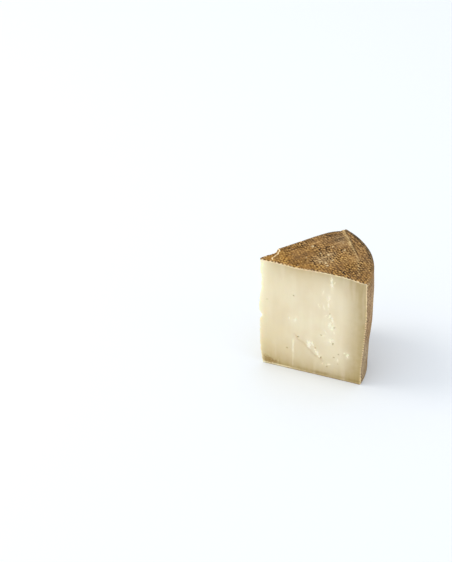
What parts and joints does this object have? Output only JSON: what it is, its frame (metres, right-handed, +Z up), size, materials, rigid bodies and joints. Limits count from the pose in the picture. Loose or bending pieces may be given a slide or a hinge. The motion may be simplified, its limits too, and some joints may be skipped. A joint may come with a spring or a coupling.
{
  "type": "sheep cheese wedge",
  "caption": "Wedge of hard sheep's cheese cut from a small drum-shaped wheel: two smooth ivory cut faces, and a brown cloth-marked rind over its top, foot and curved side.",
  "frame": {"origin": "centre of the bounding box's floor, on the surface that the wedge stands on", "axes": "+Z up, from the foot of the wheel to its top; +X along the middle of the wedge, from the sharp upright edge to the curved rind; one cut face looks to -Y and the other to +Y"},
  "size_m": [0.0976, 0.0968, 0.1065],
  "materials": {
    "cheese": "satin, slightly waxy ivory paste under a rough golden-brown rind"
  },
  "bodies": {
    "root": {"cheese_wedge": "cheese"}
  },
  "joints": []
}
